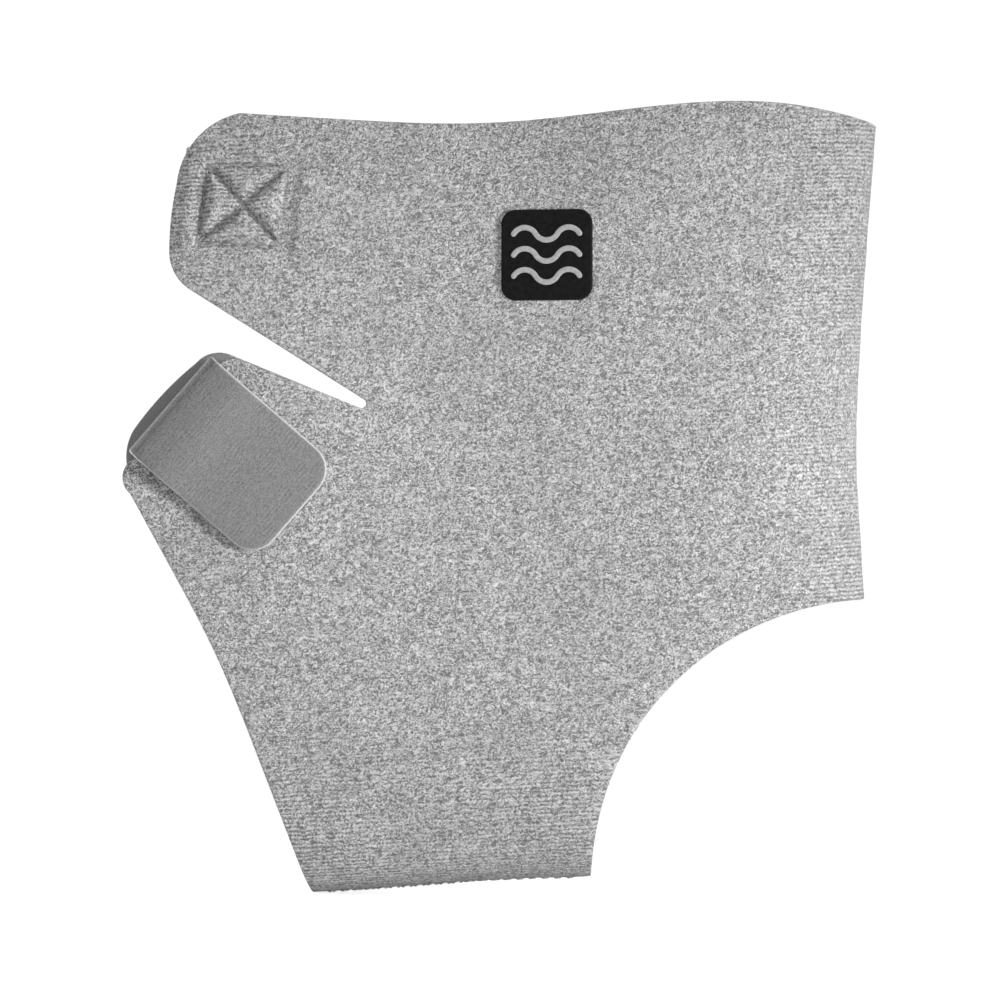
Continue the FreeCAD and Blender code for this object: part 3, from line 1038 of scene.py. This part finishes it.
UPPER = Strap("upper_strap", (-77.3, 165.0), 7.5, 1, 27.0, 43.1, 5.0)
LOWER = Strap("lower_strap", (-79.1, 116.65), 41.0, -1, 30.0, 36.4, 6.5)
strap_pieces = [*UPPER.build(), *LOWER.build()]
hook_pieces = [*UPPER.hooks(), *LOWER.hooks()]

# ---------------- materials

def add_node(tree, kind, links=(), **settings):
    """A shader node with its settings, and with its sockets linked or set."""
    node = tree.nodes.new("ShaderNode" + kind)
    for key, value in settings.items():
        setattr(node, key, value)
    for socket, value in dict(links).items():
        if isinstance(value, bpy.types.NodeSocket):
            tree.links.new(value, node.inputs[socket])
        else:
            node.inputs[socket].default_value = value
    return node


class Shader:
    """A material's nodes, built up from small expressions."""

    def __init__(self, name, roughness, **settings):
        self.material = bpy.data.materials.new(name)
        self.material.use_nodes = True
        self.tree = self.material.node_tree
        self.surface = self.tree.nodes["Principled BSDF"]
        self.surface.inputs["Roughness"].default_value = roughness
        for socket, value in settings.items():
            self.surface.inputs[socket.replace("_", " ")].default_value = value

    def add(self, kind, links=(), **settings):
        return add_node(self.tree, kind, links, **settings)

    def field(self, name):
        node = self.add("Attribute", attribute_name=name)
        return node.outputs["Vector" if name == "cloth" else "Fac"]

    def math(self, operation, *values):
        return self.add("Math", enumerate(values), operation=operation).outputs[0]

    def vector(self, operation, *values):
        return self.add("VectorMath", enumerate(values), operation=operation).outputs[0]

    def noise(self, place, scale, detail=2.0, roughness=0.5):
        links = {"Vector": place, "Scale": scale, "Detail": detail, "Roughness": roughness}
        return self.add("TexNoise", links).outputs["Fac"]

    def cells(self, place, scale):
        """Distance from the middle of the nearest of many cells."""
        return self.add("TexVoronoi", {"Vector": place, "Scale": scale}).outputs["Distance"]

    def strands(self, place, scale, tangle):
        """Curly ridges, 1 along their crests."""
        links = {"Vector": place, "Scale": scale, "Detail": 1.0, "Roughness": 0.5, "Distortion": tangle}
        level = self.add("TexNoise", links).outputs["Fac"]
        away = self.math("ABSOLUTE", self.math("SUBTRACT", level, 0.5))
        crest = self.math("MAXIMUM", self.math("SUBTRACT", 1.0, self.math("MULTIPLY", away, 5.0)), 0.0)
        return self.math("POWER", crest, 2.0)

    def level(self, value, low, high):
        return self.add("MapRange", {"Value": value, "From Min": low, "From Max": high}).outputs[0]

    def ramp(self, value, low, high, to_low=0.0, to_high=1.0):
        links = {"Value": value, "From Min": low, "From Max": high, "To Min": to_low, "To Max": to_high}
        return self.add("MapRange", links, interpolation_type="SMOOTHSTEP").outputs[0]

    def mix(self, share, a, b):
        """Colour a where share is 0 and b where it is 1."""
        return self.add("Mix", {0: share, 6: a, 7: b}, data_type="RGBA").outputs[2]

    def weighted(self, *parts):
        """The sum of the parts, each times its weight."""
        total = None
        for value, weight in parts:
            part = self.math("MULTIPLY", value, weight)
            total = part if total is None else self.math("ADD", total, part)
        return total

    def wander(self, place, scale, detail, reach):
        """A slow sideways drift for rows that aren't quite straight."""
        return self.math("MULTIPLY", self.math("SUBTRACT", self.noise(place, scale, detail), 0.5), reach)

    def wave(self, place, axis, pitch, wander=None):
        """A row pattern from -1 to 1 with the given pitch in millimetres."""
        parts = self.add("SeparateXYZ", {"Vector": place})
        along = parts.outputs[axis]
        if wander is not None:
            along = self.math("ADD", along, wander)
        return self.math("SINE", self.math("MULTIPLY", along, 2 * math.pi / pitch))

    def finish(self, colour, height, depth):
        """The finished material, with its colour and a bump of a depth in millimetres."""
        self.tree.links.new(colour, self.surface.inputs["Base Color"])
        bump = self.add("Bump", {"Height": height, "Strength": 1.0, "Distance": depth * MM})
        self.tree.links.new(bump.outputs[0], self.surface.inputs["Normal"])
        return self.material


def grey(value):
    return (value, value, value, 1.0)


def outer_knit():
    """Unbroken-loop knit: small tangled loops over the knit's rows, in heather greys, with painted shade in
    the hollows between loops, painted glints on the loop tops, a painted light rim at the cut edge and
    painted shade along the stitched lines.
    """
    s = Shader("outer_knit", 0.85, Sheen_Weight=0.2, Sheen_Roughness=0.4, Specular_IOR_Level=0.3)
    cloth = s.field("cloth")
    rows = s.wave(cloth, 1, 1.03, s.wander(cloth, 0.35, 2.0, 0.9))
    loops = s.strands(s.vector("MULTIPLY", cloth, (0.9, 1.1, 1.0)), 0.95, 1.3)
    curls = s.strands(s.vector("ADD", cloth, (31.7, 12.9, 4.0)), 1.5, 2.0)
    clumps = s.noise(cloth, 0.8, 2.0, 0.6)
    fibre = s.noise(cloth, 5.0, 2.0, 0.6)
    rib = s.math("MULTIPLY", s.field("rib"), rows)
    height = s.weighted((loops, 0.5), (curls, 0.45), (clumps, 0.5), (fibre, 0.35), (rib, 0.28))
    # heather greys from the loops' height, partly painted shade: darker in the hollows between loops and
    # lighter on their tops
    loop_tone_and_hollow_shade = s.math("POWER", s.level(height, 0.5, 1.12), 1.6)
    tone = s.mix(loop_tone_and_hollow_shade, grey(0.15), grey(0.98))
    # painted glints: near-white specks painted on the highest loop tops
    glint = s.noise(s.vector("ADD", cloth, (5.3, 47.1, 9.0)), 1.2, 1.0)
    tone = s.mix(s.math("MULTIPLY", s.level(glint, 0.5, 0.64), s.level(height, 0.75, 1.15)), tone, grey(0.95))
    patchy = s.noise(cloth, 0.05, 2.0)
    tone = s.mix(s.ramp(patchy, 0.35, 0.7, 0.0, 0.12), tone, grey(0.22))
    # painted light rim: the cover is lightened within 0.6 mm of its cut edge, standing in for light catching
    # the rolled edge
    tone = s.mix(s.ramp(s.field("edge"), 0.0, 0.6, 0.3, 0.0), tone, grey(0.5))
    # painted shade: the cover is darkened within 0.9 mm of the stitched lines, as shade in the stitched
    # grooves
    tone = s.mix(s.ramp(s.field("seam"), 0.1, 0.9, 0.6, 0.0), tone, grey(0.12))
    return s.finish(tone, height, 0.42)


def strap_fabric():
    """Brushed warp knit with fine lines across the strap and a painted highlight along the cut edge."""
    s = Shader("strap_fabric", 0.75, Sheen_Weight=0.25, Sheen_Roughness=0.35, Specular_IOR_Level=0.3)
    cloth = s.field("cloth")
    lines = s.wave(cloth, 0, 0.95, s.wander(cloth, 0.5, 3.0, 1.1))
    nap = s.strands(s.vector("MULTIPLY", cloth, (1.2, 0.8, 1.0)), 1.5, 1.2)
    fibre = s.noise(cloth, 3.0, 3.0, 0.65)
    fade = s.ramp(s.noise(cloth, 0.2, 2.0), 0.35, 0.7)
    height = s.weighted((s.math("MULTIPLY", lines, fade), 0.09), (nap, 0.3), (fibre, 0.9))
    tone = s.mix(s.level(height, 0.3, 0.8), grey(0.11), grey(0.275))
    # painted highlight: the strap is lightened towards near-white within 0.6 mm of its cut edge
    tone = s.mix(s.ramp(s.field("edge"), 0.0, 0.6, 0.6, 0.0), tone, grey(0.8))
    return s.finish(tone, height, 0.13)


def lining_knit():
    """Smooth jersey lining with fine wales."""
    s = Shader("lining_knit", 0.75, Sheen_Weight=0.2, Sheen_Roughness=0.4, Specular_IOR_Level=0.3)
    cloth = s.field("cloth")
    wales = s.wave(cloth, 0, 0.75, s.wander(cloth, 0.4, 2.0, 0.4))
    courses = s.wave(cloth, 1, 0.55)
    knit = s.math("MULTIPLY", wales, s.math("ADD", s.math("MULTIPLY", courses, 0.35), 0.65))
    fibre = s.noise(cloth, 3.0, 3.0, 0.6)
    height = s.math("ADD", s.math("MULTIPLY", knit, 0.06), fibre)
    tone = s.mix(s.ramp(height, 0.2, 0.9), grey(0.16), grey(0.27))
    return s.finish(tone, height, 0.09)


def foam_black():
    """Black open-cell foam with small pores."""
    s = Shader("foam_black", 0.9, Specular_IOR_Level=0.2)
    cloth = s.field("cloth")
    pores = s.cells(cloth, 2.6)
    height = s.math("ADD", s.ramp(pores, 0.05, 0.5), s.noise(cloth, 5.0, 2.0))
    tone = s.mix(s.ramp(height, 0.4, 1.5), grey(0.008), grey(0.025))
    return s.finish(tone, height, 0.15)


def cold_gel():
    """Blue gel in a soft film, clouded and beaded."""
    s = Shader("cold_gel", 0.25, Coat_Weight=0.4, Coat_Roughness=0.2, Subsurface_Weight=0.3)
    s.surface.inputs["Subsurface Radius"].default_value = (0.001, 0.002, 0.003)
    s.surface.inputs["Subsurface Scale"].default_value = 1.0
    cloth = s.field("cloth")
    swirl = s.noise(cloth, 0.12, 3.0, 0.6)
    beads = s.cells(cloth, 0.5)
    tone = s.mix(s.ramp(swirl, 0.3, 0.7), (0.04, 0.16, 0.36, 1.0), (0.09, 0.3, 0.55, 1.0))
    height = s.math("ADD", swirl, s.math("MULTIPLY", beads, 0.3))
    return s.finish(tone, height, 0.3)


def badge_rubber():
    """Dull black rubber with a paler moulded edge."""
    s = Shader("badge_rubber", 0.85, Specular_IOR_Level=0.14)
    cloth = s.field("cloth")
    grain = s.noise(cloth, 5.0, 3.0, 0.6)
    mottle = s.noise(cloth, 0.8, 2.0)
    tone = s.mix(s.ramp(mottle, 0.3, 0.7), grey(0.004), grey(0.008))
    tone = s.mix(s.ramp(s.field("edge"), 0.0, 0.4, 0.4, 0.0), tone, grey(0.03))
    return s.finish(tone, grain, 0.04)


def motif_print():
    s = Shader("motif_print", 0.6, Specular_IOR_Level=0.4)
    cloth = s.field("cloth")
    grain = s.noise(cloth, 4.0, 3.0, 0.6)
    tone = s.mix(s.ramp(s.noise(cloth, 1.2, 2.0), 0.3, 0.7), grey(0.3), grey(0.38))
    return s.finish(tone, grain, 0.04)


def sewing_thread():
    s = Shader("sewing_thread", 0.6, Sheen_Weight=0.3, Specular_IOR_Level=0.4)
    place = s.add("TexCoord").outputs["Object"]
    strand = s.noise(place, 4500.0, 2.0, 0.6)
    tone = s.mix(s.ramp(strand, 0.35, 0.65), grey(0.28), grey(0.46))
    return s.finish(tone, strand, 0.05)


def hook_plastic():
    s = Shader("hook_plastic", 0.4, Specular_IOR_Level=0.5)
    place = s.add("TexCoord").outputs["Object"]
    cloudy = s.noise(place, 300.0, 2.0)
    tone = s.mix(s.ramp(cloudy, 0.3, 0.7), grey(0.15), grey(0.18))
    return s.finish(tone, s.noise(place, 3000.0, 2.0), 0.03)


def seam_tape():
    s = Shader("seam_tape", 0.75, Sheen_Weight=0.2, Specular_IOR_Level=0.3)
    cloth = s.field("cloth")
    weave = s.math("MULTIPLY", s.wave(cloth, 0, 0.8), s.wave(cloth, 1, 0.8))
    tone = s.mix(s.ramp(weave, -0.8, 0.8), grey(0.15), grey(0.26))
    return s.finish(tone, weave, 0.08)


def dress(material, *pieces):
    for piece in pieces:
        piece.data.materials.append(material)


dress(strap_fabric(), *strap_pieces)
dress(hook_plastic(), *hook_pieces)
gel, motif, thread = cold_gel(), motif_print(), sewing_thread()

# ---------------- what each piece is

for piece, material, slot_name, node in (
    (cover, outer_knit(), "outer_knit", "outer_cover"),
    (foam, foam_black(), "foam", "foam_core"),
    (lining, lining_knit(), "lining", "inner_lining"),
    *((pad, gel, "gel", name) for name, pad in gel_pads.items()),
    (badge, badge_rubber(), "badge_rubber", "badge"),
    *((wave, motif, "motif_print", "badge_motif") for wave in waves),
    (seam, thread, "thread", "sole_seam_thread"),
    (tape, seam_tape(), "lining", "sole_seam_tape"),
    *((box, thread, "thread", name + "_stitching") for name, box in stitching.items()),
):
    dress(material, piece)
    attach(piece, "wrap")
    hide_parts(node)

# ---------------- the studio

WHITE = (1, 1, 1, 1)
AIR_LIGHT = 0.42
AIR_SEEN = 1.05
FLOOR_GLOW = 0.66
FLOOR_SIDES = 64
# radii of the floor's rings, in millimetres
FLOOR_RINGS = [20.0, *np.geomspace(100.0, 6000.0, 14)]
# name, place, point that it faces, size, watts and spread in degrees
LAMPS = [
    ("key", (0.68, -0.42, 0.1), (0.04, 0.0, 0.098), (0.22, 0.19), 0.31, 32),
    ("front", (0.0, -0.6, 0.13), (0.02, 0.0, 0.098), (0.2, 0.16), 0.08, 38),
    ("back", (-0.68, 0.42, 0.1), (-0.03, 0.0, 0.085), (0.22, 0.19), 0.35, 36),
]
LENS = 135
SENSOR = 36
FRAME_SHARE = 0.8


def seen_only(tree, value):
    """A strength for what the camera sees directly, so that the backdrop is white and the light soft."""
    seen = add_node(tree, "LightPath").outputs["Is Camera Ray"]
    return add_node(tree, "Math", {0: seen, 1: value}, operation="MULTIPLY").outputs[0]


def paper_floor():
    """A round sheet of white paper under the wrap."""
    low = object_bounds()[0][2] / MM
    turns = np.linspace(0, 2 * math.pi, FLOOR_SIDES, endpoint=False)
    verts = [(r * math.cos(t), r * math.sin(t), low) for r in FLOOR_RINGS for t in turns]
    faces = [list(range(FLOOR_SIDES))]
    for start in range(0, len(verts) - FLOOR_SIDES, FLOOR_SIDES):
        for k in range(FLOOR_SIDES):
            n = (k + 1) % FLOOR_SIDES
            faces.append([start + k, start + FLOOR_SIDES + k, start + FLOOR_SIDES + n, start + n])
    floor = make_mesh("studio_floor", verts, faces, {})
    s = Shader("studio_paper", 0.9, Specular_IOR_Level=0.1)
    s.surface.inputs["Emission Color"].default_value = WHITE
    s.tree.links.new(seen_only(s.tree, FLOOR_GLOW), s.surface.inputs["Emission Strength"])
    grain = s.noise(s.add("TexCoord").outputs["Object"], 900.0, 2.0)
    dress(s.finish(s.mix(grain, grey(0.88), grey(0.92)), grain, 0.01), floor)
    floor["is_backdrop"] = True


def studio_air():
    """Even light from all round, and a white background."""
    world = bpy.data.worlds.new("studio_air")
    world.use_nodes = True
    tree = world.node_tree
    glow = add_node(tree, "Math", {0: seen_only(tree, AIR_SEEN - AIR_LIGHT), 1: AIR_LIGHT}, operation="ADD")
    air = tree.nodes["Background"]
    air.inputs[0].default_value = WHITE
    tree.links.new(glow.outputs[0], air.inputs[1])
    bpy.context.scene.world = world


def softbox(name, place, target, size, watts, spread):
    lamp = bpy.data.lights.new(name, "AREA")
    lamp.spread = math.radians(spread)
    lamp.shape = "RECTANGLE"
    lamp.size, lamp.size_y = size
    lamp.energy = watts
    made = bpy.data.objects.new(name, lamp)
    made.location = place
    made.rotation_euler = (Vector(target) - Vector(place)).to_track_quat("-Z", "Y").to_euler()
    bpy.context.collection.objects.link(made)


def camera():
    """A level view of the badge side, which fills FRAME_SHARE of the frame."""
    low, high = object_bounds()
    middle = [(a + b) / 2 for a, b in zip(low, high)]
    lens = bpy.data.cameras.new("view")
    lens.lens = LENS
    lens.sensor_width = SENSOR
    made = bpy.data.objects.new("view", lens)
    span = max(high[0] - low[0], high[2] - low[2])
    distance = span / FRAME_SHARE * LENS / SENSOR
    made.location = (middle[0], low[1] - distance, middle[2])
    made.rotation_euler = (math.pi / 2, 0, 0)
    bpy.context.collection.objects.link(made)
    bpy.context.scene.camera = made


paper_floor()
studio_air()
for lamp in LAMPS:
    softbox(*lamp)
camera()
bpy.context.scene.view_settings.view_transform = "Standard"
